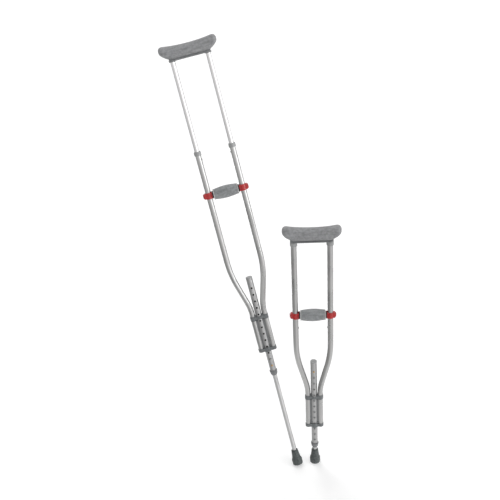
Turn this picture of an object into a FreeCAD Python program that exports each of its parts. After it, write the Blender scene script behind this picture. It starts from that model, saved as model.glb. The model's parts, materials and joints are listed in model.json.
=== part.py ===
"""A pair of telescoping aluminium underarm crutches, one short and upright, one long and leaning.

Each crutch is built in its own frame: Z runs up its leg from the middle of the lower bracket,
X runs from one upright to the other and -Y is the front. Both crutches share every part, and
differ only in which holes their spring buttons and handgrip locks sit in. All sizes are in mm.
"""
import FreeCAD, Part
import math
import os

V = FreeCAD.Vector
X_AXIS = V(1, 0, 0)
Y_AXIS = V(0, 1, 0)
Z_AXIS = V(0, 0, 1)

# ---- Driving dimensions ----
PITCH = 25.4                # spacing of the adjustment holes
STEPS = 12                  # steps of adjustment: one hole more than this
WALL = 1.2                  # wall of every tube
GAP = 0.3                   # clearance between parts that slide

UPRIGHT_R = 19.05 / 2       # outer tubes that carry the handgrip
INNER_R = 15.9 / 2          # inner tubes of the saddle and of the leg
LEG_R = 22.2 / 2            # perforated leg tube
UPRIGHT_X = 60.0            # half the spacing of the uprights at the top
BRACKET_X = 22.0            # half their spacing in the brackets
LOW_BEND_Z = 163.0          # where the runs of an upright would meet, lower bend
HIGH_BEND_Z = 303.0         # and upper bend
LOW_BEND_R = 190.0
HIGH_BEND_R = 360.0
UPRIGHT_TOP = 751.0
UPRIGHT_FOOT = -3.5

UPPER_BRACKET_Z = 125.0     # the lower bracket is at zero
BAND_H = 12.0
LOBE_R = 11.0               # bracket round an upright
HUB_R = 13.2                # bracket round the leg tube
HUB_DROP = 3.2              # how far the lower hub runs on down, short of the next leg hole
RIVET_R = 1.6
RIVET_HEAD_R = 3.0
RIVET_HEAD_H = 1.4
TONGUE_R = 2.3

LEG_TOP = 276.5
LEG_FOOT = -98.0
LEG_HOLE_TOP = 240.0        # highest hole in the front of the leg tube
HOLE_R = 3.4
CAP_H = 3.5
CAP_PLUG = 8.0

BUTTON_R = 3.0
BUTTON_ROOT = 5.5           # where a button is riveted to its leaf spring, from the tube's axis
SADDLE_BUTTON_REACH = UPRIGHT_R + 1.8
FOOT_BUTTON_REACH = LEG_R + 2.2
SPRING_T = 0.5
SPRING_W = 6.0
SPRING_DROP = 28.0

SADDLE_HOLE_LOW = UPRIGHT_TOP - 26.5 - STEPS * PITCH
SADDLE_TUBE_BELOW = 70.0    # saddle tube below its button
SADDLE_RISE = 337.0         # from its button to the underside of the pad
PAD_HALF = 97.5
PAD_DEPTH = 48.0
PAD_MIDDLE_H = 47.5
PAD_END_H = 56.0
PAD_CORNER_R = 8.0
PAD_SIDE_R = 16.0
TRAY_HALF = 71.5            # stiff tray that shows as a dark edge under the pad
TRAY_DEPTH = 34.0
TRAY_H = 4.0
SKIRT_R = 11.5              # sockets on its underside, round the saddle tubes
SKIRT_H = 2.0
CORE_HALF = 70.0
CORE_DEPTH = 26.0
CORE_H = 18.0
SOCKET = 14.0               # saddle tube inside the core

GRIP_HOLE_LOW = 369.4       # lowest handgrip hole, on the outer sides of the uprights
GRIP_HOLE_R = 2.8
COLLAR_H = 22.0
COLLAR_R = 12.4
COLLAR_FACE = 13.0          # flat inboard face that the grip's end plate sits on
HOUSING_OUT = 16.5
HOUSING_W = 19.0
KNOB_OUT = 19.6
KNOB_R = 8.2
SPRING_CAVITY_R = 5.0
SPRING_CAVITY_OUT = 14.7
ROD_R = 5.0
BOSS_R = 8.5
BOSS_IN = 21.0
END_PLATE_T = 3.8
END_PLATE_R = 13.6
WASHER_T = 2.4
WASHER_R = 18.5
SLEEVE_END_R = 17.5
SLEEVE_MIDDLE_R = 21.5

FOOT_RISE = 358.0           # from the foot button down to the mouth of the rubber tip
TIP_H = 59.0
TIP_FLAT_R = 16.8           # flat part of the tip's underside
TIP_EDGE_R = 2.2
TIP_FLOOR = 12.0            # rubber under the end of the tube
BUSH_R = 9.5

# Which hole each crutch uses, counted from the lowest, and where it stands.
SHORT = {"leg": 12, "saddle": 0, "grip": 4}
TALL = {"leg": 0, "saddle": 12, "grip": 9}
TALL_FOOT = (-64.8, -16.3)
TALL_LEAN_Y = -11.95        # turns in degrees, applied Z first, then X, then Y
TALL_LEAN_X = -10.25
TALL_TURN_Z = 8.32


# ---- Small helpers ----
def rod(radius, start, end, axis=X_AXIS, through=V(0, 0, 0)):
    """A cylinder along an axis from start to end, both measured along it."""
    return Part.makeCylinder(radius, end - start, through + axis * start, axis)


def pipe(radius, low, high, x=0.0):
    outer = rod(radius, low, high, Z_AXIS, V(x, 0, 0))
    return outer.cut(rod(radius - WALL, low, high, Z_AXIS, V(x, 0, 0)))


def block(x, y, z):
    """A box from its (low, high) pairs."""
    return Part.makeBox(x[1] - x[0], y[1] - y[0], z[1] - z[0], V(x[0], y[0], z[0]))


def aimed(shape, angle, x=0.0, z=0.0):
    """A shape made facing +X, turned about Z and put at x, z."""
    copy = shape.copy()
    copy.rotate(V(0, 0, 0), Z_AXIS, angle)
    copy.translate(V(x, 0, z))
    return copy


def revolved(points):
    """A turned solid from the (radius, height) corners of its section."""
    edges = []
    corners = [V(r, 0, z) for r, z in points]
    for start, end in zip(corners, corners[1:] + corners[:1]):
        edges.append(Part.LineSegment(start, end).toShape())
    return Part.Face(Part.Wire(edges)).revolve(V(0, 0, 0), Z_AXIS, 360)


def rounded(shape, radius, wanted):
    """The shape with the edges that pass the test rounded."""
    return shape.makeFillet(radius, [edge for edge in shape.Edges if wanted(edge)])


def is_flat_ring(edge, z):
    """Whether an edge lies at height z."""
    box = edge.BoundBox
    return abs(box.ZMin - z) < 0.01 and abs(box.ZMax - z) < 0.01


def is_upright_edge(edge, x):
    """Whether an edge runs straight up at that x."""
    box = edge.BoundBox
    return box.XLength < 0.01 and box.YLength < 0.01 and abs(box.XMin - x) < 0.01


def bent_path(corners, radii):
    """Straight runs in the XZ plane joined by arcs of the given radii."""
    edges = []
    start = corners[0]
    for before, corner, after, radius in zip(corners, corners[1:], corners[2:], radii):
        back = (before - corner).normalize()
        ahead = (after - corner).normalize()
        half = back.getAngle(ahead) / 2
        inward = (back + ahead).normalize()
        run = radius / math.tan(half)
        centre = corner + inward * (radius / math.sin(half))
        edges.append(Part.LineSegment(start, corner + back * run).toShape())
        edges.append(Part.Arc(corner + back * run, centre - inward * radius, corner + ahead * run).toShape())
        start = corner + ahead * run
    edges.append(Part.LineSegment(start, corners[-1]).toShape())
    return Part.Wire(edges)


def swept(path, start, radius):
    profile = Part.Wire([Part.Circle(start, Z_AXIS, radius).toShape()])
    return path.makePipeShell([profile], True, False)


def hole_heights(lowest):
    return [lowest + PITCH * step for step in range(STEPS + 1)]


# ---- Frame ----
def upright(side):
    """A bent tube with button holes on its inner side and handgrip holes on its outer side."""
    corners = [V(side * BRACKET_X, 0, UPRIGHT_FOOT), V(side * BRACKET_X, 0, LOW_BEND_Z),
               V(side * UPRIGHT_X, 0, HIGH_BEND_Z), V(side * UPRIGHT_X, 0, UPRIGHT_TOP)]
    path = bent_path(corners, [LOW_BEND_R, HIGH_BEND_R])
    tube = swept(path, corners[0], UPRIGHT_R).cut(swept(path, corners[0], UPRIGHT_R - WALL))
    centre = V(side * UPRIGHT_X, 0, 0)
    holes = [rod(HOLE_R, 0, UPRIGHT_R + 1, X_AXIS * -side, centre + V(0, 0, z))
             for z in hole_heights(SADDLE_HOLE_LOW)]
    holes += [rod(GRIP_HOLE_R, 0, UPRIGHT_R + 1, X_AXIS * side, centre + V(0, 0, z))
              for z in hole_heights(GRIP_HOLE_LOW)]
    return tube.cut(holes + rivet_holes())


def upright_collar(side):
    """A guide ferrule on the top of an upright, closed down to the saddle tube."""
    low = UPRIGHT_TOP - 11
    high = UPRIGHT_TOP + 3
    ring = rod(UPRIGHT_R + 2.4, low, high, Z_AXIS)
    ring = rounded(ring, 1.2, lambda edge: is_flat_ring(edge, low) or is_flat_ring(edge, high))
    ring = ring.cut(rod(UPRIGHT_R, low, UPRIGHT_TOP, Z_AXIS))
    ring = ring.cut(rod(INNER_R + GAP, low, high, Z_AXIS))
    return aimed(ring, 0, side * UPRIGHT_X)


def bracket_outline(low, high, lobe_r, hub_r):
    """Two lobes and a hub, joined by a band across the front and the back."""
    solid = rod(hub_r, low, high, Z_AXIS)
    for side in (-1, 1):
        solid = solid.fuse(rod(lobe_r, low, high, Z_AXIS, V(side * BRACKET_X, 0, 0)))
    band = block((-BRACKET_X, BRACKET_X), (-lobe_r + 0.6, lobe_r - 0.6), (low, high))
    solid = solid.fuse(band).removeSplitter()
    return rounded(solid, 1.0, lambda edge: is_flat_ring(edge, low) or is_flat_ring(edge, high))


def tube_space(low, high):
    """The room that the leg tube and both uprights take in a bracket."""
    spaces = [rod(LEG_R, low, high, Z_AXIS)]
    for side in (-1, 1):
        spaces.append(rod(UPRIGHT_R, low, high, Z_AXIS, V(side * BRACKET_X, 0, 0)))
    return spaces


def upper_bracket():
    low = UPPER_BRACKET_Z - BAND_H / 2
    high = UPPER_BRACKET_Z + BAND_H / 2
    solid = bracket_outline(low, high, LOBE_R, HUB_R)
    for side in (-1, 1):
        sleeve = rod(LOBE_R - 0.3, low - 3, high + 2, Z_AXIS, V(side * BRACKET_X, 0, 0))
        tongue = rod(TONGUE_R, low, high + 7, Z_AXIS, V(side * valley_x(), -6.6, 0))
        solid = solid.fuse(sleeve).fuse(tongue)
    return solid.cut(tube_space(low - 5, high + 9) + rivet_holes())


def lower_bracket():
    """Holds the closed lower ends of the uprights, with a hub that runs on down the leg tube."""
    low = -BAND_H / 2 - 1
    high = BAND_H / 2
    hub_low = low - HUB_DROP
    solid = bracket_outline(low, high, LOBE_R, HUB_R)
    hub = rod(HUB_R - 0.4, hub_low, high + 2, Z_AXIS)
    hub = rounded(hub, 1.2, lambda edge: is_flat_ring(edge, hub_low))
    solid = solid.fuse(hub)
    spaces = [rod(LEG_R, hub_low - 1, high + 3, Z_AXIS)]
    for side in (-1, 1):
        spaces.append(rod(UPRIGHT_R, UPRIGHT_FOOT, high + 3, Z_AXIS, V(side * BRACKET_X, 0, 0)))
    return solid.cut(spaces + rivet_holes())


def valley_x():
    """The middle of the valley between the leg tube and an upright."""
    return (LEG_R + BRACKET_X - UPRIGHT_R) / 2


def bracket_strip(side):
    """A spacer strip between the leg tube and an upright, with a round bead at each end."""
    low = BAND_H / 2 + 2.5
    high = UPPER_BRACKET_Z - BAND_H / 2 - 3.5
    middle = side * valley_x()
    strip = block((middle - 3.2, middle + 3.2), (-6, 6), (low, high))
    for z in (low + TONGUE_R, high - TONGUE_R):
        strip = strip.fuse(rod(TONGUE_R, -8.4, 0, Y_AXIS, V(middle, 0, z)))
    return strip.cut([rod(LEG_R + 0.1, low - 1, high + 1, Z_AXIS),
                      rod(UPRIGHT_R + 0.1, low - 1, high + 1, Z_AXIS, V(side * BRACKET_X, 0, 0))])


def rivet_places():
    """Where each rivet is: x, height, radius of the tube's bore and of the bracket's outside."""
    places = []
    for z in (0.5, UPPER_BRACKET_Z):
        places.append((0, z, LEG_R - WALL, HUB_R))
        for side in (-1, 1):
            places.append((side * BRACKET_X, z, UPRIGHT_R - WALL, LOBE_R))
    return places


def rivets():
    """Blind rivets from the back, flush with the bores so that the tubes inside can pass."""
    solids = []
    for x, z, bore_r, outer_r in rivet_places():
        seat = outer_r - 0.5
        head = rod(RIVET_HEAD_R, seat, seat + RIVET_HEAD_H, Y_AXIS, V(x, 0, z))
        head = rounded(head, 0.8, lambda edge: abs(edge.BoundBox.YMin - seat - RIVET_HEAD_H) < 0.01)
        solids.append(head.fuse(rod(RIVET_R, bore_r, seat, Y_AXIS, V(x, 0, z))))
    return solids


def rivet_holes():
    holes = []
    for x, z, bore_r, outer_r in rivet_places():
        holes.append(rod(RIVET_R, bore_r - 1, outer_r, Y_AXIS, V(x, 0, z)))
        holes.append(rod(RIVET_HEAD_R, outer_r - 0.5, outer_r + 3, Y_AXIS, V(x, 0, z)))
    return holes


def leg_tube():
    holes = [rod(HOLE_R, 0, LEG_R + 1, Y_AXIS * -1, V(0, 0, LEG_HOLE_TOP - PITCH * step))
             for step in range(STEPS + 1)]
    return pipe(LEG_R, LEG_FOOT, LEG_TOP).cut(holes + rivet_holes())


def leg_cap():
    """A domed cap with a plug that fits the open top of the leg tube."""
    cap = rod(LEG_R + 0.5, LEG_TOP, LEG_TOP + CAP_H, Z_AXIS)
    cap = rounded(cap, 1.8, lambda edge: is_flat_ring(edge, LEG_TOP + CAP_H))
    return cap.fuse(rod(LEG_R - WALL, LEG_TOP - CAP_PLUG, LEG_TOP, Z_AXIS))


def leg_collar():
    """The guide on the foot of the leg tube, tapering down to the inner leg tube."""
    top = LEG_FOOT + 12
    bottom = LEG_FOOT - 8
    bore = INNER_R + GAP
    return revolved([(LEG_R, top), (LEG_R + 2.2, top), (LEG_R + 2.9, top - 1), (LEG_R + 2.9, top - 5),
                     (LEG_R + 2.0, top - 7), (LEG_R + 1.6, LEG_FOOT), (LEG_R + 0.4, LEG_FOOT - 3.5),
                     (bore + 1.6, bottom + 0.8), (bore + 0.8, bottom), (bore, bottom), (bore, LEG_FOOT),
                     (LEG_R, LEG_FOOT)])


# ---- Spring buttons ----
def spring_button(reach):
    """A round-nosed button, facing +X."""
    pin = rod(BUTTON_R, BUTTON_ROOT, reach)
    return rounded(pin, 1.1, lambda edge: abs(edge.BoundBox.XMin - reach) < 0.01)


def leaf_spring():
    """A folded strip that pushes a button outwards, along +X. Its fold is at the bottom."""
    outer = BUTTON_ROOT
    inner = outer - SPRING_T
    width = (-SPRING_W / 2, SPRING_W / 2)
    solid = block((inner, outer), width, (-SPRING_DROP, 5))
    solid = solid.fuse(block((-outer, -inner), width, (-SPRING_DROP, 5)))
    fold = rod(outer, width[0], width[1], Y_AXIS, V(0, 0, -SPRING_DROP))
    fold = fold.cut(rod(inner, width[0], width[1], Y_AXIS, V(0, 0, -SPRING_DROP)))
    fold = fold.cut(block((-10, 10), (-10, 10), (-SPRING_DROP, 10)))
    return solid.fuse(fold).removeSplitter()


# ---- Saddle: the underarm pad on its two tubes ----
def saddle_tube(side, button_z):
    top = button_z + SADDLE_RISE + SOCKET
    tube = pipe(INNER_R, button_z - SADDLE_TUBE_BELOW, top, side * UPRIGHT_X)
    button_hole = rod(BUTTON_R + GAP, 0, INNER_R + 1, X_AXIS * -side, V(side * UPRIGHT_X, 0, button_z))
    return tube.cut([button_hole, saddle_pin(side, top - SOCKET)])


def saddle_pin(side, base_z):
    """A cross pin that holds a saddle tube in the core."""
    half = CORE_DEPTH / 2
    return rod(2.0, -half, half, Y_AXIS, V(side * UPRIGHT_X, 0, base_z + 9))


def saddle_core(base_z):
    """A tray under the pad and a beam inside it, with a socket for each tube."""
    half = TRAY_DEPTH / 2
    tray = block((-TRAY_HALF, TRAY_HALF), (-half, half), (base_z, base_z + TRAY_H))
    tray = rounded(tray, half - 5, lambda edge: edge.BoundBox.ZLength > TRAY_H - 0.1)
    tray = rounded(tray, 1.2, lambda edge: is_flat_ring(edge, base_z))
    half = CORE_DEPTH / 2
    core = tray.fuse(block((-CORE_HALF, CORE_HALF), (-half, half), (base_z + TRAY_H, base_z + CORE_H)))
    for side in (-1, 1):
        centre = V(side * UPRIGHT_X, 0, 0)
        core = core.fuse(rod(SKIRT_R, base_z - SKIRT_H, base_z + TRAY_H, Z_AXIS, centre))
        core = core.cut(rod(INNER_R, base_z - SKIRT_H, base_z + SOCKET, Z_AXIS, centre))
        core = core.cut(saddle_pin(side, base_z))
    return core


def underarm_pad(base_z):
    """A shallow saddle with raised ends, cut away underneath for the core."""
    def point(x, z):
        return V(x, -PAD_DEPTH / 2, base_z + z)

    edges = [Part.LineSegment(point(-72, TRAY_H), point(72, TRAY_H)).toShape(),
             Part.Arc(point(72, TRAY_H), point(86, 9.5), point(93, 20)).toShape(),
             Part.Arc(point(93, 20), point(PAD_HALF, 38), point(89, PAD_END_H)).toShape(),
             Part.Arc(point(89, PAD_END_H), point(0, PAD_MIDDLE_H), point(-89, PAD_END_H)).toShape(),
             Part.Arc(point(-89, PAD_END_H), point(-PAD_HALF, 38), point(-93, 20)).toShape(),
             Part.Arc(point(-93, 20), point(-86, 9.5), point(-72, TRAY_H)).toShape()]
    pad = Part.Face(Part.Wire(edges)).extrude(V(0, PAD_DEPTH, 0))
    pad = rounded(pad, PAD_CORNER_R, lambda edge: edge.BoundBox.YLength > PAD_DEPTH - 0.1)
    pad = rounded(pad, PAD_SIDE_R, lambda edge: edge.BoundBox.YLength < 0.01)
    half = CORE_DEPTH / 2
    pocket = block((-CORE_HALF, CORE_HALF), (-half, half), (base_z - 1, base_z + CORE_H))
    half = TRAY_DEPTH / 2
    tray_space = block((-TRAY_HALF, TRAY_HALF), (-half, half), (base_z - 1, base_z + TRAY_H))
    return pad.cut([pocket, tray_space])


# ---- Handgrip: rides on the uprights between two locking collars ----
def grip_collar():
    """A ring round an upright, facing outwards along +X, with the upright's axis at zero."""
    half = COLLAR_H / 2
    cheek = block((-COLLAR_FACE, -5), (-9.5, 9.5), (-half, half))
    cheek = rounded(cheek, 2.5, lambda edge: is_upright_edge(edge, -COLLAR_FACE))
    solid = rod(COLLAR_R, -half, half, Z_AXIS).fuse(cheek).removeSplitter()
    solid = rounded(solid, 1.5, lambda edge: is_flat_ring(edge, -half) or is_flat_ring(edge, half))
    wide = HOUSING_W / 2
    housing = block((5, HOUSING_OUT), (-wide, wide), (-wide, wide))
    housing = rounded(housing, 3.0, lambda edge: edge.BoundBox.XLength > 1)
    housing = rounded(housing, 1.2, lambda edge: abs(edge.BoundBox.XMin - HOUSING_OUT) < 0.01)
    solid = solid.fuse([housing, rod(BOSS_R, -BOSS_IN, -8)])
    button_path = block((-SADDLE_BUTTON_REACH - 0.4, 0), (-3.8, 3.8), (-half - 1, half + 1))
    return solid.cut([rod(UPRIGHT_R + GAP, -half - 1, half + 1, Z_AXIS), button_path,
                      rod(SPRING_CAVITY_R, 0, SPRING_CAVITY_OUT), rod(2.1, 0, HOUSING_OUT + 1),
                      rod(ROD_R, -BOSS_IN - 1, -COLLAR_FACE)])


def grip_lock():
    """A spring-loaded pin with a pull knob. Its nose sits in the wall of the upright."""
    nose = rod(2.4, UPRIGHT_R - WALL + 0.1, UPRIGHT_R + 0.7)
    flange = rod(SPRING_CAVITY_R - 0.4, UPRIGHT_R + 0.7, UPRIGHT_R + 1.7)
    stem = rod(1.8, UPRIGHT_R + 1.7, HOUSING_OUT + 1)
    knob = rod(KNOB_R, HOUSING_OUT + 0.3, KNOB_OUT)
    knob = rounded(knob, 1.4, lambda edge: abs(edge.BoundBox.XMin - KNOB_OUT) < 0.01)
    return nose.fuse([flange, stem, knob]).removeSplitter()


def grip_lock_spring():
    """A small coil of square wire round the stem of a lock, between its flange and the housing."""
    half_wire = 0.35
    start = UPRIGHT_R + 1.7 + half_wire + 0.05
    length = SPRING_CAVITY_OUT - half_wire - 0.05 - start
    radius = 3.2
    helix = Part.makeHelix(length / 2.5, length, radius)
    corners = [V(radius + x * half_wire, 0, z * half_wire)
               for x, z in ((-1, -1), (1, -1), (1, 1), (-1, 1), (-1, -1))]
    profile = Part.makePolygon(corners)
    coil = Part.Wire(helix.Edges).makePipeShell([profile], True, True)
    coil.rotate(V(0, 0, 0), Y_AXIS, 90)
    coil.translate(V(start, 0, 0))
    return coil


def sleeve_end():
    """How far the handgrip's sleeve reaches from the middle."""
    return UPRIGHT_X - COLLAR_FACE - END_PLATE_T - WASHER_T


def along_x(shape, z):
    """A turned solid laid along X at height z."""
    shape.rotate(V(0, 0, 0), Y_AXIS, 90)
    shape.translate(V(0, 0, z))
    return shape


def grip_sleeve(z):
    """A barrel that swells towards the middle."""
    end = sleeve_end()
    edges = [Part.LineSegment(V(0, 0, -end), V(SLEEVE_END_R, 0, -end)).toShape(),
             Part.Arc(V(SLEEVE_END_R, 0, -end), V(SLEEVE_MIDDLE_R, 0, 0), V(SLEEVE_END_R, 0, end)).toShape(),
             Part.LineSegment(V(SLEEVE_END_R, 0, end), V(0, 0, end)).toShape(),
             Part.LineSegment(V(0, 0, end), V(0, 0, -end)).toShape()]
    barrel = Part.Face(Part.Wire(edges)).revolve(V(0, 0, 0), Z_AXIS, 360)
    barrel = rounded(barrel, 1.2, lambda edge: is_flat_ring(edge, end) or is_flat_ring(edge, -end))
    boss_end = UPRIGHT_X - BOSS_IN
    barrel = barrel.cut([rod(ROD_R, -end, end, Z_AXIS), rod(BOSS_R, -end, -boss_end, Z_AXIS),
                         rod(BOSS_R, boss_end, end, Z_AXIS)])
    return along_x(barrel, z)


def grip_disc(side, z, radius, near, thickness):
    """A disc round the boss of a grip collar."""
    disc = rod(radius, side * near, side * near + thickness, X_AXIS, V(0, 0, z))
    return disc.cut(rod(BOSS_R, side * near - 1, side * near + thickness + 1, X_AXIS, V(0, 0, z)))


def grip_discs(z, radius, near, thickness):
    return [grip_disc(1, z, radius, near, thickness), grip_disc(-1, z, radius, near + thickness, thickness)]


# ---- Foot: inner leg tube and rubber tip ----
def inner_leg_tube(button_z):
    low = button_z - FOOT_RISE - TIP_H + TIP_FLOOR
    tube = pipe(INNER_R, low, button_z + 22)
    return tube.cut(rod(BUTTON_R + GAP, 0, INNER_R + 1, Y_AXIS * -1, V(0, 0, button_z)))


def guide_bush(button_z):
    """A cup over the top of the inner leg tube that keeps it central in the leg tube."""
    low = button_z + 13
    high = button_z + 25
    cup = rod(BUSH_R, low, high, Z_AXIS)
    cup = rounded(cup, 0.8, lambda edge: is_flat_ring(edge, high) or is_flat_ring(edge, low))
    return cup.cut(rod(INNER_R, low, button_z + 22, Z_AXIS))


def rubber_tip(button_z):
    """A stepped rubber ferrule with ringed grooves underneath."""
    base = button_z - FOOT_RISE - TIP_H
    edge = TIP_FLAT_R + TIP_EDGE_R
    bore = INNER_R
    profile = [(0, 0), (9, 0), (9, 1.6), (10.5, 1.6), (10.5, 0),
               (12.8, 0), (12.8, 1.6), (14.3, 1.6), (14.3, 0), (TIP_FLAT_R, 0)]
    profile += [(TIP_FLAT_R + TIP_EDGE_R * math.sin(math.radians(turn)),
                 TIP_EDGE_R - TIP_EDGE_R * math.cos(math.radians(turn))) for turn in (22.5, 45, 67.5, 90)]
    profile += [(edge + 0.2, 19), (edge - 0.5, 21.5), (edge - 1.8, 23.2), (16.2, 25), (15.6, 27), (12.4, 54),
                (12.2, TIP_H - 2), (11.6, TIP_H - 0.7), (10.9, TIP_H), (9.3, TIP_H), (bore, TIP_H - 2),
                (bore, TIP_FLOOR), (0, TIP_FLOOR)]
    tip = revolved(profile)
    tip.translate(V(0, 0, base))
    return tip


# ---- Whole crutch ----
def crutch(settings):
    """Every piece of one crutch by name, each a list of separate solids."""
    foot_z = LEG_HOLE_TOP - PITCH * (STEPS - settings["leg"])
    saddle_z = SADDLE_HOLE_LOW + PITCH * settings["saddle"]
    pad_z = saddle_z + SADDLE_RISE
    grip_z = GRIP_HOLE_LOW + PITCH * settings["grip"]
    plate_near = UPRIGHT_X - COLLAR_FACE - END_PLATE_T
    inward = {-1: 0, 1: 180}
    outward = {-1: 180, 1: 0}
    sides = (-1, 1)
    return {
        "left_upright": [upright(-1)],
        "right_upright": [upright(1)],
        "upright_collars": [upright_collar(side) for side in sides],
        "upper_bracket": [upper_bracket()],
        "lower_bracket": [lower_bracket()],
        "bracket_strips": [bracket_strip(side) for side in sides],
        "bracket_rivets": rivets(),
        "leg_tube": [leg_tube()],
        "leg_cap": [leg_cap()],
        "leg_collar": [leg_collar()],
        "saddle_tubes": [saddle_tube(side, saddle_z) for side in sides],
        "saddle_core": [saddle_core(pad_z)],
        "saddle_pins": [saddle_pin(side, pad_z) for side in sides],
        "underarm_pad": [underarm_pad(pad_z)],
        "saddle_button_springs": [aimed(leaf_spring(), inward[side], side * UPRIGHT_X, saddle_z)
                                  for side in sides],
        "left_saddle_button": [aimed(spring_button(SADDLE_BUTTON_REACH), 0, -UPRIGHT_X, saddle_z)],
        "right_saddle_button": [aimed(spring_button(SADDLE_BUTTON_REACH), 180, UPRIGHT_X, saddle_z)],
        "grip_sleeve": [grip_sleeve(grip_z)],
        "grip_rod": [rod(ROD_R, COLLAR_FACE - UPRIGHT_X, UPRIGHT_X - COLLAR_FACE, X_AXIS, V(0, 0, grip_z))],
        "grip_end_plates": grip_discs(grip_z, END_PLATE_R, plate_near, END_PLATE_T),
        "grip_washers": grip_discs(grip_z, WASHER_R, plate_near - WASHER_T, WASHER_T),
        "grip_collars": [aimed(grip_collar(), outward[side], side * UPRIGHT_X, grip_z) for side in sides],
        "grip_lock_springs": [aimed(grip_lock_spring(), outward[side], side * UPRIGHT_X, grip_z)
                              for side in sides],
        "left_grip_lock": [aimed(grip_lock(), 180, -UPRIGHT_X, grip_z)],
        "right_grip_lock": [aimed(grip_lock(), 0, UPRIGHT_X, grip_z)],
        "inner_leg_tube": [inner_leg_tube(foot_z)],
        "guide_bush": [guide_bush(foot_z)],
        "rubber_tip": [rubber_tip(foot_z)],
        "foot_button_spring": [aimed(leaf_spring(), -90, 0, foot_z)],
        "foot_button": [aimed(spring_button(FOOT_BUTTON_REACH), -90, 0, foot_z)],
    }


def foot_base(settings):
    """Height of the underside of the rubber tip in the crutch's own frame."""
    return LEG_HOLE_TOP - PITCH * (STEPS - settings["leg"]) - FOOT_RISE - TIP_H


def short_placement():
    return FreeCAD.Placement(V(0, 0, -foot_base(SHORT)), FreeCAD.Rotation())


def tall_placement():
    """The long crutch leans to the left and back, on the edge of its rubber tip."""
    turn = FreeCAD.Rotation(Y_AXIS, TALL_LEAN_Y) * FreeCAD.Rotation(X_AXIS, TALL_LEAN_X)
    turn = turn * FreeCAD.Rotation(Z_AXIS, TALL_TURN_Z)
    tilt = turn.multVec(Z_AXIS).getAngle(Z_AXIS)
    height = TIP_FLAT_R * math.sin(tilt) + TIP_EDGE_R * (1 - math.cos(tilt))
    foot = FreeCAD.Placement(V(TALL_FOOT[0], TALL_FOOT[1], height), turn)
    return foot * FreeCAD.Placement(V(0, 0, -foot_base(TALL)), FreeCAD.Rotation())


def main():
    os.makedirs("parts", exist_ok=True)
    for prefix, settings, placement in (("short", SHORT, short_placement()),
                                        ("tall", TALL, tall_placement())):
        for name, solids in crutch(settings).items():
            shape = solids[0] if len(solids) == 1 else Part.makeCompound(solids)
            shape.Placement = placement * shape.Placement
            shape.exportStep("parts/" + prefix + "_" + name + ".step")


main()
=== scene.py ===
"""How the pair of underarm crutches looks: camera, light, materials, pads and handgrips.

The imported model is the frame. Each crutch has its own axes, read from its joints, so that one
function makes a piece for the upright crutch and for the leaning one alike. Lengths are metres.
"""
import json
import math

import bmesh
import bpy
from mathutils import Matrix, Vector


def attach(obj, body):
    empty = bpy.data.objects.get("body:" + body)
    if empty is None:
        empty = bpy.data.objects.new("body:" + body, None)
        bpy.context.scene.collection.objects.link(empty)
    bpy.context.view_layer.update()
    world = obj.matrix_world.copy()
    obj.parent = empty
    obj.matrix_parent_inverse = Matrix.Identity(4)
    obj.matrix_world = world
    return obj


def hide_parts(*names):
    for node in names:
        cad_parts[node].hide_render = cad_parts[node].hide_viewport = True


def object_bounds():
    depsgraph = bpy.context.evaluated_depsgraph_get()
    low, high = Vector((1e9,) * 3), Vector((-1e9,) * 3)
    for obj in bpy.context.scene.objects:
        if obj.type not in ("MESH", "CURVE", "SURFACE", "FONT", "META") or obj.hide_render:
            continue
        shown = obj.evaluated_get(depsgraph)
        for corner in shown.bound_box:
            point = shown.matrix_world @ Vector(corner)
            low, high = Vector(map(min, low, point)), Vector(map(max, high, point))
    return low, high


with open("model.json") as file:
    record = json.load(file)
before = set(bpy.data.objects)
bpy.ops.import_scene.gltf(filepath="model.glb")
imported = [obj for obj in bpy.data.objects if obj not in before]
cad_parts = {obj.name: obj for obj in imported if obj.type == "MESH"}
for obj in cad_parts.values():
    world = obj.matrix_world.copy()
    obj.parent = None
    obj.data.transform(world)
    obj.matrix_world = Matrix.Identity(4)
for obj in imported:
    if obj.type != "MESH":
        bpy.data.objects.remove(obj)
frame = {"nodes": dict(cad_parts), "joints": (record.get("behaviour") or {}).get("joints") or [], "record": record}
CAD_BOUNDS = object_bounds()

MM = 0.001
CRUTCHES = ("short", "tall")

CAMERA_PLACE = (-0.081, -2.484, 2.195)
CAMERA_LENS = 61.0
CAMERA_TURN = 2.84            # degrees to the left of +Y
CAMERA_TILT = -27.39          # degrees above the horizon
CAMERA_ROLL = 3.02            # degrees about the line of sight

FLOOR_REACH = 30.0            # from the middle of the floor to its edges
BACKDROP_RADIUS = 60.0
KEY_TRAVEL = (0.24, -0.52, -1.0)    # the way that the key light's rays go
KEY_SPREAD = 24.0                   # degrees that it fills, seen from the crutches

PAD_TOP_LIFT = 8.5 * MM       # ends of the pad's top above its middle
PAD_UNDER_LIFT = 17.0 * MM    # ends of its underside above the flat part
PAD_CAP = 18.0 * MM           # length over which an end closes
GRIP_NECK = 17.4 * MM         # radius of a handgrip at its ends
GRIP_ROLL = 1.6 * MM          # rounding of its ends
GRIP_HUB = 8.6 * MM            # radius of the innermost ring on its flat ends
GRIP_GROOVE = 0.25 * MM       # depth of its mould line


# ---------------------------------------------------------------- frame helpers
def joint_axis(name):
    for joint in frame["joints"]:
        if joint["name"] == name:
            return Vector(joint["axis"]).normalized()
    raise KeyError(name)


def crutch_axes(crutch):
    """The crutch's own X, Y, Z as the columns of a matrix: across, towards the back, up."""
    across = joint_axis(crutch + "_right_saddle_button_press")
    back = joint_axis(crutch + "_foot_button_press")
    up = joint_axis(crutch + "_leg_length")
    return Matrix((across, back, up)).transposed()


AXES = {crutch: crutch_axes(crutch) for crutch in CRUTCHES}


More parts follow.
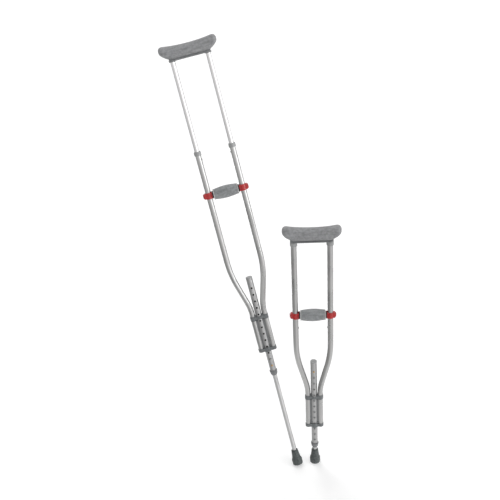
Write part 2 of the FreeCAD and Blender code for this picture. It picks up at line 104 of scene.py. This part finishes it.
def local_box(crutch, node):
    """Lowest and highest corner of a CAD node along the crutch's own axes."""
    turned = AXES[crutch].transposed()
    points = [turned @ vertex.co for vertex in frame["nodes"][node].data.vertices]
    low = Vector([min(p[i] for p in points) for i in range(3)])
    high = Vector([max(p[i] for p in points) for i in range(3)])
    return low, high


# ---------------------------------------------------------------- camera, stage and light
def add_camera():
    camera_data = bpy.data.cameras.new("camera")
    camera_data.sensor_width = 36.0
    camera_data.lens = CAMERA_LENS
    camera = bpy.data.objects.new("camera", camera_data)
    bpy.context.scene.collection.objects.link(camera)
    turn = (Matrix.Rotation(math.radians(CAMERA_TURN), 3, "Z")
            @ Matrix.Rotation(math.radians(CAMERA_TILT), 3, "X")
            @ Matrix.Rotation(math.radians(CAMERA_ROLL), 3, "Y")
            @ Matrix.Rotation(math.radians(90), 3, "X"))
    camera.matrix_world = Matrix.Translation(CAMERA_PLACE) @ turn.to_4x4()
    bpy.context.scene.camera = camera


def add_world():
    """A plain studio: a room that is darkest on the left, a pale floor, a wall that is bright above
    an edge that slants down to the left, and a softbox on the right. It all dims overhead."""
    world = bpy.data.worlds.new("studio")
    bpy.context.scene.world = world
    world.use_nodes = True
    tree = world.node_tree
    background = tree.nodes["Background"]
    coords = tree.nodes.new("ShaderNodeTexCoord")
    split = tree.nodes.new("ShaderNodeSeparateXYZ")
    tree.links.new(coords.outputs["Generated"], split.inputs[0])
    x, y, z = split.outputs

    def step(source, from_low, from_high, low, high):
        """A smooth change from low to high as source goes from from_low to from_high."""
        ramp = tree.nodes.new("ShaderNodeMapRange")
        ramp.interpolation_type = "SMOOTHSTEP"
        ramp.inputs["From Min"].default_value = from_low
        ramp.inputs["From Max"].default_value = from_high
        ramp.inputs["To Min"].default_value = low
        ramp.inputs["To Max"].default_value = high
        tree.links.new(source, ramp.inputs["Value"])
        return ramp.outputs[0]

    def combined(operation, one, other):
        node = tree.nodes.new("ShaderNodeMath")
        node.operation = operation
        tree.links.new(one, node.inputs[0])
        tree.links.new(other, node.inputs[1])
        return node.outputs[0]

    slant = tree.nodes.new("ShaderNodeMath")
    slant.operation = "MULTIPLY_ADD"
    slant.inputs[1].default_value = -0.43
    tree.links.new(x, slant.inputs[0])
    tree.links.new(z, slant.inputs[2])

    darker_behind = step(y, 0.2, 0.7, 1.0, 0.4)
    room = combined("MULTIPLY", step(x, -0.65, 0.45, 0.15, 0.88), darker_behind)
    floor_glow = step(z, -0.62, -0.50, 0.98, 0.0)
    room = combined("MAXIMUM", room, floor_glow)
    wall = step(slant.outputs[0], -0.10, 0.15, 0.0, 0.70)
    softbox = combined("MULTIPLY", step(x, 0.50, 0.95, 0.0, 2.4), step(z, -0.09, 0.01, 0.0, 1.0))
    softbox = combined("MULTIPLY", softbox, step(y, -0.05, 0.3, 1.0, 0.0))
    total = combined("ADD", combined("ADD", room, wall), softbox)
    total = combined("MULTIPLY", total, step(z, 0.15, 0.8, 1.0, 0.4))
    tree.links.new(total, background.inputs["Strength"])
    background.inputs["Color"].default_value = (1.0, 1.0, 1.0, 1.0)


def stage_piece(name, mesh, grey, glow):
    """Puts a mesh into the scene in a dull paint that also glows. It shows in no reflection, and
    throws no light on the crutches."""
    piece = bpy.data.objects.new(name, mesh)
    bpy.context.scene.collection.objects.link(piece)
    piece.visible_glossy = False
    piece.visible_diffuse = False
    paint = bpy.data.materials.new(name + "_paint")
    paint.use_nodes = True
    shader = paint.node_tree.nodes["Principled BSDF"]
    shader.inputs["Base Color"].default_value = (grey, grey, grey, 1)
    shader.inputs["Roughness"].default_value = 0.9
    shader.inputs["Specular IOR Level"].default_value = 0.0
    shader.inputs["Emission Color"].default_value = (1.0, 1.0, 1.0, 1)
    shader.inputs["Emission Strength"].default_value = glow
    mesh.materials.append(paint)
    return piece


def add_floor():
    """A white floor, lit from within as well as from above, so that only a soft shadow shows."""
    mesh = bpy.data.meshes.new("floor")
    far = FLOOR_REACH
    corners = [(-far, -far, 0), (far, -far, 0), (far, far, 0), (-far, far, 0)]
    mesh.from_pydata(corners, [], [(0, 1, 2, 3)])
    floor = stage_piece("floor", mesh, 0.8, 0.31)
    floor.location.z = CAD_BOUNDS[0][2]


def add_backdrop():
    """A white shell far outside everything, so that the plain background goes on past the floor's
    edge. Light from the studio passes through it."""
    mesh = bpy.data.meshes.new("backdrop")
    build = bmesh.new()
    bmesh.ops.create_icosphere(build, subdivisions=3, radius=BACKDROP_RADIUS)
    build.to_mesh(mesh)
    build.free()
    shell = stage_piece("backdrop", mesh, 0.0, 1.1)
    shell.visible_transmission = False
    shell.visible_shadow = False


def add_lights():
    """A soft light from above, behind and a little to the left of the crutches."""
    light_data = bpy.data.lights.new("soft_key", "SUN")
    light_data.energy = 0.95
    light_data.angle = math.radians(KEY_SPREAD)
    light = bpy.data.objects.new("soft_key", light_data)
    bpy.context.scene.collection.objects.link(light)
    light.rotation_euler = Vector(KEY_TRAVEL).to_track_quat("-Z", "Y").to_euler()


# ---------------------------------------------------------------- materials
class Surface:
    """A material under construction: its shader, and noise that follows a crutch's own axes."""

    def __init__(self, name, crutch, roughness, metallic=0.0, coat=0.0):
        self.material = bpy.data.materials.new(name + "_" + crutch)
        self.material.use_nodes = True
        self.tree = self.material.node_tree
        self.shader = self.tree.nodes["Principled BSDF"]
        self.shader.inputs["Metallic"].default_value = metallic
        self.shader.inputs["Roughness"].default_value = roughness
        self.shader.inputs["Coat Weight"].default_value = coat
        self.roughness = roughness
        self.crutch = crutch
        self.height = None
        coords = self.node("ShaderNodeTexCoord")
        self.place = self.node("ShaderNodeMapping")
        self.place.vector_type = "TEXTURE"
        self.place.inputs["Rotation"].default_value = AXES[crutch].to_euler("XYZ")
        self.link(coords.outputs["Object"], self.place.inputs["Vector"])

    def node(self, kind):
        return self.tree.nodes.new(kind)

    def link(self, source, target):
        self.tree.links.new(source, target)

    def noise(self, scale, stretch=(1, 1, 1), detail=3.0):
        """Noise from 0 to 1, finer along an axis with a larger stretch."""
        size = self.node("ShaderNodeMapping")
        size.inputs["Scale"].default_value = stretch
        self.link(self.place.outputs[0], size.inputs["Vector"])
        texture = self.node("ShaderNodeTexNoise")
        texture.inputs["Scale"].default_value = scale
        texture.inputs["Detail"].default_value = detail
        self.link(size.outputs[0], texture.inputs["Vector"])
        return texture.outputs["Fac"]

    def cells(self, scale, stretch=(1, 1, 1)):
        """Distance to the nearest cell centre, for grain."""
        size = self.node("ShaderNodeMapping")
        size.inputs["Scale"].default_value = stretch
        self.link(self.place.outputs[0], size.inputs["Vector"])
        texture = self.node("ShaderNodeTexVoronoi")
        texture.feature = "SMOOTH_F1"
        texture.inputs["Scale"].default_value = scale
        self.link(size.outputs[0], texture.inputs["Vector"])
        return texture.outputs["Distance"]

    def ranged(self, value, low, high, from_low=0.35, from_high=0.65):
        """value from from_low to from_high becomes low to high."""
        ramp = self.node("ShaderNodeMapRange")
        ramp.inputs["From Min"].default_value = from_low
        ramp.inputs["From Max"].default_value = from_high
        ramp.inputs["To Min"].default_value = low
        ramp.inputs["To Max"].default_value = high
        self.link(value, ramp.inputs["Value"])
        return ramp.outputs[0]

    def colour(self, dark, light, value):
        """The base colour runs from dark to light with value, from 0 to 1."""
        mix = self.node("ShaderNodeMix")
        mix.data_type = "RGBA"
        mix.inputs["A"].default_value = (*dark, 1)
        mix.inputs["B"].default_value = (*light, 1)
        self.link(value, mix.inputs["Factor"])
        self.link(mix.outputs["Result"], self.shader.inputs["Base Color"])

    def rough(self, value, spread):
        self.link(self.ranged(value, self.roughness - spread, self.roughness + spread),
                  self.shader.inputs["Roughness"])

    def bump(self, value, depth, strength=1.0):
        """Adds relief of that depth in metres on top of any earlier relief."""
        relief = self.node("ShaderNodeBump")
        relief.inputs["Distance"].default_value = depth
        relief.inputs["Strength"].default_value = strength
        self.link(value, relief.inputs["Height"])
        if self.height is not None:
            self.link(self.height, relief.inputs["Normal"])
        self.height = relief.outputs[0]
        self.link(self.height, self.shader.inputs["Normal"])

    def paint_bore_shade(self, node):
        """Paints shade on whatever lies nearer to the axis of a tube than its outer surface, such as its inside
        seen through its holes. The painted shade starts below the flats that the tube's facets leave inside its
        true radius."""
        low, high = local_box(self.crutch, node)
        centre = (low + high) / 2
        shift = self.node("ShaderNodeMapping")
        shift.inputs["Location"].default_value = (-centre.x, -centre.y, 0)
        shift.inputs["Scale"].default_value = (1, 1, 0)
        self.link(self.place.outputs[0], shift.inputs["Vector"])
        reach = self.node("ShaderNodeVectorMath")
        reach.operation = "LENGTH"
        self.link(shift.outputs[0], reach.inputs[0])
        radius = (high.x - low.x) / 2
        all_dark, all_light = radius - 0.5 * MM, radius - 0.2 * MM
        # painted shade: the colour falls to 3% inside the bore
        keep = self.ranged(reach.outputs["Value"], 0.03, 1.0, all_dark, all_light)
        before = self.shader.inputs["Base Color"].links[0].from_socket
        mix = self.node("ShaderNodeMix")
        mix.data_type = "RGBA"
        mix.inputs["A"].default_value = (0, 0, 0, 1)
        self.link(keep, mix.inputs["Factor"])
        self.link(before, mix.inputs["B"])
        self.link(mix.outputs["Result"], self.shader.inputs["Base Color"])


def shades(colour, spread):
    """A darker and a lighter version of a colour."""
    return [c * (1 - spread) for c in colour], [min(c * (1 + spread), 1.0) for c in colour]


def tube_metal(name, crutch, colour, roughness, draw_depth=0.00003, bore=None):
    """Aluminium tube: fine lines along its length and slight clouding. Where a node is given for the bore,
    shade is painted on the inside of that tube."""
    surface = Surface(name, crutch, roughness, metallic=1.0)
    lines = surface.noise(1.0, (2600, 2600, 14), 2.0)
    clouds = surface.noise(26.0, (1, 1, 0.5), 4.0)
    blend = surface.node("ShaderNodeMath")
    blend.operation = "MULTIPLY_ADD"
    surface.link(lines, blend.inputs[0])
    blend.inputs[1].default_value = 0.45
    surface.link(surface.ranged(clouds, 0.0, 0.55), blend.inputs[2])
    surface.colour(*shades(colour, 0.07), blend.outputs[0])
    surface.rough(clouds, 0.05)
    surface.bump(lines, draw_depth, 0.6)
    if bore:
        surface.paint_bore_shade(bore)
    return surface.material


def moulded_plastic(name, crutch, colour, roughness, coat):
    """Plastic with slight clouding and a fine grain, under a clear coat of that weight."""
    surface = Surface(name, crutch, roughness, coat=coat)
    clouds = surface.noise(45.0, detail=5.0)
    surface.colour(*shades(colour, 0.08), surface.ranged(clouds, 0, 1))
    surface.rough(surface.noise(300.0, detail=2.0), 0.06)
    surface.bump(surface.noise(1800.0, detail=2.0), 0.00006, 0.5)
    return surface.material


def foam_skin(name, crutch, colour, roughness, grain):
    """Closed-cell foam with a leathery moulded skin, mottled and creased along its length. Its colour mixes random
    blotches with painted shade in the hollows of the creases.
    """
    surface = Surface(name, crutch, roughness)
    pores = surface.cells(900.0)
    creases = surface.noise(1.0, (24, 150, 150), 3.0)
    # the colour: random blotches, and painted shade that follows the creases' relief, darker in their hollows
    mottle_and_crease_shade = surface.node("ShaderNodeMix")
    mottle_and_crease_shade.inputs["Factor"].default_value = 0.45
    surface.link(surface.ranged(surface.noise(130.0, detail=5.0), 0, 1), mottle_and_crease_shade.inputs["A"])
    surface.link(surface.ranged(creases, 0, 1), mottle_and_crease_shade.inputs["B"])
    surface.colour(*shades(colour, 0.27), mottle_and_crease_shade.outputs["Result"])
    surface.rough(surface.noise(160.0, detail=3.0), 0.07)
    surface.bump(creases, 0.0014, 0.7)
    surface.bump(pores, grain, 0.55)
    surface.shader.inputs["Sheen Weight"].default_value = 0.12
    surface.shader.inputs["Sheen Roughness"].default_value = 0.5
    return surface.material


def tip_rubber(name, crutch, colour):
    """Dusty moulded rubber."""
    surface = Surface(name, crutch, 0.48)
    dust = surface.noise(150.0, detail=6.0)
    surface.colour(*shades(colour, 0.40), surface.ranged(dust, 0, 1, 0.3, 0.7))
    surface.rough(surface.noise(220.0, detail=3.0), 0.1)
    surface.bump(surface.noise(900.0, detail=3.0), 0.0001, 0.6)
    return surface.material


def plain_metal(name, crutch, colour, roughness):
    """Small metal parts, without a direction in their grain."""
    surface = Surface(name, crutch, roughness, metallic=1.0)
    surface.colour(*shades(colour, 0.08), surface.noise(400.0))
    surface.rough(surface.noise(700.0), 0.07)
    return surface.material


def make_materials(crutch):
    """Every material slot of the record for one crutch, and two more for nodes that look different
    from the rest of their slot: a darker, rougher tube metal for the inner leg tubes, and end_plate."""
    tubes = {
        "bright_tube": tube_metal("bright_tube", crutch, (0.74, 0.735, 0.735), 0.32, 0.00002),
        "satin_tube": tube_metal("satin_tube", crutch, (0.51, 0.51, 0.505), 0.30),
        # darker and rougher than bright_tube, for the inner leg tubes
        "inner_leg_metal": tube_metal("inner_leg_metal", crutch, (0.64, 0.64, 0.64), 0.38),
        # painted shade inside the leg tube's bore
        "leg_tube_metal": tube_metal("leg_tube_metal", crutch, (0.47, 0.47, 0.47), 0.36,
                                     bore=crutch + "_leg_tube"),
    }
    plastics = {
        "collar_plastic": ((0.30, 0.305, 0.305), 0.36, 0.4),
        "bracket_plastic": ((0.15, 0.16, 0.165), 0.5, 0.0),
        "dark_plastic": ((0.19, 0.195, 0.20), 0.5, 0.0),
        "end_plate": ((0.030, 0.026, 0.027), 0.4, 0.0),
        "guide_plastic": ((0.6, 0.6, 0.57), 0.5, 0.0),
        "washer_plastic": ((0.55, 0.54, 0.54), 0.42, 0.0),
        "red_plastic": ((0.43, 0.011, 0.012), 0.28, 0.35),
    }
    foams = {
        "pad_foam": ((0.247, 0.25, 0.256), 0.62, 0.00016),
        "grip_foam": ((0.235, 0.245, 0.25), 0.58, 0.00012),
    }
    plain_metals = {
        "rivet_steel": ((0.55, 0.55, 0.55), 0.35),
        "spring_steel": ((0.45, 0.45, 0.45), 0.4),
        "button_steel": ((0.35, 0.35, 0.35), 0.35),
        "button_brass": ((0.60, 0.38, 0.16), 0.3),
    }
    materials = dict(tubes)
    for name, (colour, roughness, coat) in plastics.items():
        materials[name] = moulded_plastic(name, crutch, colour, roughness, coat)
    for name, (colour, roughness, grain) in foams.items():
        materials[name] = foam_skin(name, crutch, colour, roughness, grain)
    for name, (colour, roughness) in plain_metals.items():
        materials[name] = plain_metal(name, crutch, colour, roughness)
    materials["tip_rubber"] = tip_rubber("tip_rubber", crutch, (0.070, 0.080, 0.079))
    return materials


MATERIALS = {crutch: make_materials(crutch) for crutch in CRUTCHES}


def paint_cad_nodes():
    """Gives every CAD node the material of its slot in the record, or its own where it has one."""
    slots = {part["node"]: part["material_slot"] for part in frame["record"]["subparts"]}
    for crutch in CRUTCHES:
        slots[crutch + "_inner_leg_tube"] = "inner_leg_metal"
        slots[crutch + "_grip_end_plates"] = "end_plate"
    for name, node in frame["nodes"].items():
        crutch = name.split("_")[0]
        node.data.materials.clear()
        node.data.materials.append(MATERIALS[crutch][slots[name]])


# ---------------------------------------------------------------- building meshes
def smooth_step(value):
    """From 0 to 1 with level ends."""
    value = min(max(value, 0.0), 1.0)
    return value * value * (3 - 2 * value)


def lofted(name, crutch, rings, material):
    """A closed surface through rings of points given along the crutch's own axes."""
    count = len(rings[0])
    mesh = bpy.data.meshes.new(name)
    build = bmesh.new()
    rows = [[build.verts.new(AXES[crutch] @ Vector(point)) for point in ring] for ring in rings]
    for row, following in zip(rows, rows[1:]):
        for i in range(count):
            j = (i + 1) % count
            build.faces.new((row[i], row[j], following[j], following[i]))
    for row, turn in ((rows[0], -1), (rows[-1], 1)):
        centre = build.verts.new(sum((v.co for v in row), Vector()) / count)
        for i in range(count):
            j = (i + 1) % count
            corner = (row[i], row[j], centre) if turn > 0 else (row[j], row[i], centre)
            build.faces.new(corner)
    bmesh.ops.recalc_face_normals(build, faces=build.faces)
    for face in build.faces:
        face.smooth = True
    build.to_mesh(mesh)
    build.free()
    mesh.materials.append(material)
    piece = bpy.data.objects.new(name, mesh)
    bpy.context.scene.collection.objects.link(piece)
    return piece


def superellipse(angle, power):
    """A point of a rounded rectangle that fills the unit square; a larger power is squarer."""
    c, s = math.cos(angle), math.sin(angle)
    return math.copysign(abs(c) ** (2 / power), c), math.copysign(abs(s) ** (2 / power), s)


# ---------------------------------------------------------------- underarm pad
def underarm_pad(crutch):
    """A moulded saddle: upturned ends, a rolled top and a parting line along each side."""
    low, high = local_box(crutch, crutch + "_underarm_pad")
    centre = (low + high) / 2
    half = (high.x - low.x) / 2
    depth = (high.y - low.y) / 2
    middle_top = high.z - PAD_TOP_LIFT
    stations = 97
    around = 96
    rings = []
    for station in range(stations):
        along = -math.cos(math.pi * (station + 0.35) / (stations - 0.3))
        x = along * half
        reach = abs(x)
        rise = smooth_step((reach - 0.55 * half) / (0.45 * half))
        bottom = low.z + PAD_UNDER_LIFT * rise ** 1.25
        top = middle_top + PAD_TOP_LIFT * (reach / half) ** 2.1
        inside = max(0.0, (reach - (half - PAD_CAP)) / PAD_CAP)
        close = (1 - min(inside, 1.0) ** 2.3) ** (1 / 2.3)
        middle = (bottom + top) / 2
        half_height = (top - bottom) / 2 * close
        half_depth = depth * (0.94 + 0.06 * rise) * close
        ring = []
        for step in range(around):
            angle = 2 * math.pi * step / around
            y, z = superellipse(angle, 2.35)
            if z < 0:
                y = math.copysign(min(abs(y) * 1.04, 1.0), y)
            else:
                y *= 1.0 - 0.10 * z
            seam = math.exp(-((z + 0.22) / 0.055) ** 2) * abs(y) ** 4
            y *= 1 - 0.045 * seam * close
            ring.append((centre.x + x, centre.y + y * half_depth, middle + z * half_height))
        rings.append(ring)
    pad = lofted(crutch + "_pad_cover", crutch, rings, MATERIALS[crutch]["pad_foam"])
    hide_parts(crutch + "_underarm_pad")
    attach(pad, crutch + "_saddle")


# ---------------------------------------------------------------- handgrip
def handgrip(crutch):
    """A crowned foam barrel with rolled ends and a mould line front and back."""
    low, high = local_box(crutch, crutch + "_grip_sleeve")
    centre = (low + high) / 2
    half = (high.x - low.x) / 2
    crown = (high.z - low.z) / 2
    stations = 101
    around = 72
    rings = []
    for station in range(stations):
        along = -math.cos(math.pi * station / (stations - 1))
        radius = crown - (crown - GRIP_NECK) * abs(along) ** 1.8
        into_roll = max(0.0, (abs(along) * half - (half - GRIP_ROLL)) / GRIP_ROLL)
        radius -= GRIP_ROLL * (1 - math.sqrt(1 - min(into_roll, 1.0) ** 2))
        ring = []
        for step in range(around):
            angle = 2 * math.pi * step / around
            line = math.exp(-(math.sin(angle) / 0.05) ** 2)
            r = radius - GRIP_GROOVE * line
            ring.append((centre.x + along * half,
                         centre.y + r * math.cos(angle), centre.z + r * math.sin(angle)))
        rings.append(ring)
    rings.insert(0, [shrunk(point, centre, GRIP_HUB) for point in rings[0]])
    rings.append([shrunk(point, centre, GRIP_HUB) for point in rings[-1]])
    grip = lofted(crutch + "_grip_cover", crutch, rings, MATERIALS[crutch]["grip_foam"])
    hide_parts(crutch + "_grip_sleeve")
    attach(grip, crutch + "_grip")


def shrunk(point, centre, radius):
    """The point moved towards the X axis through centre, to that radius."""
    y, z = point[1] - centre.y, point[2] - centre.z
    scale = radius / math.hypot(y, z)
    return (point[0], centre.y + y * scale, centre.z + z * scale)


# ---------------------------------------------------------------- the scene
add_camera()
add_world()
add_floor()
add_backdrop()
add_lights()
bpy.context.scene.view_settings.view_transform = "Standard"
paint_cad_nodes()
for crutch in CRUTCHES:
    underarm_pad(crutch)
    handgrip(crutch)
